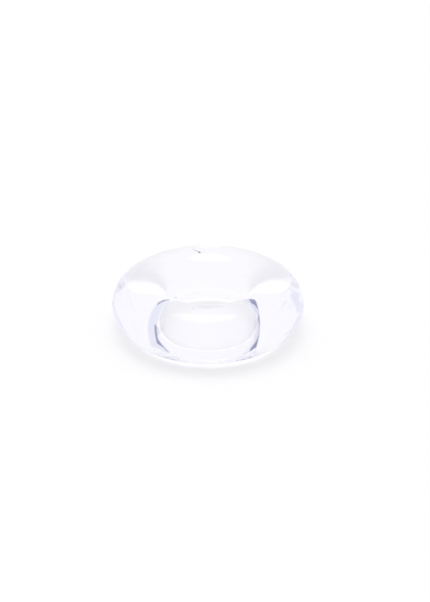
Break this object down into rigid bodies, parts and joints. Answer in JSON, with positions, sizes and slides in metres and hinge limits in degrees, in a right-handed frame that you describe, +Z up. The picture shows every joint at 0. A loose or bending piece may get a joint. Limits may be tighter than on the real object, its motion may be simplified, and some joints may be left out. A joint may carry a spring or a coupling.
{
  "type": "ring insulator",
  "caption": "Thick clear glass ring with a nearly circular section and a round hole with a short straight land, lying flat on a narrow pressed foot.",
  "frame": {"origin": "centre of the ring at the level of its foot", "axes": "+Z up along the ring's axis, through the hole; the ring is round, so X and Y are free"},
  "size_m": [0.046, 0.046, 0.0134],
  "materials": {
    "clear_glass": "clear pressed glass, fire-polished, with a faint violet cast"
  },
  "bodies": {
    "root": {"ring": "clear_glass"}
  },
  "joints": []
}
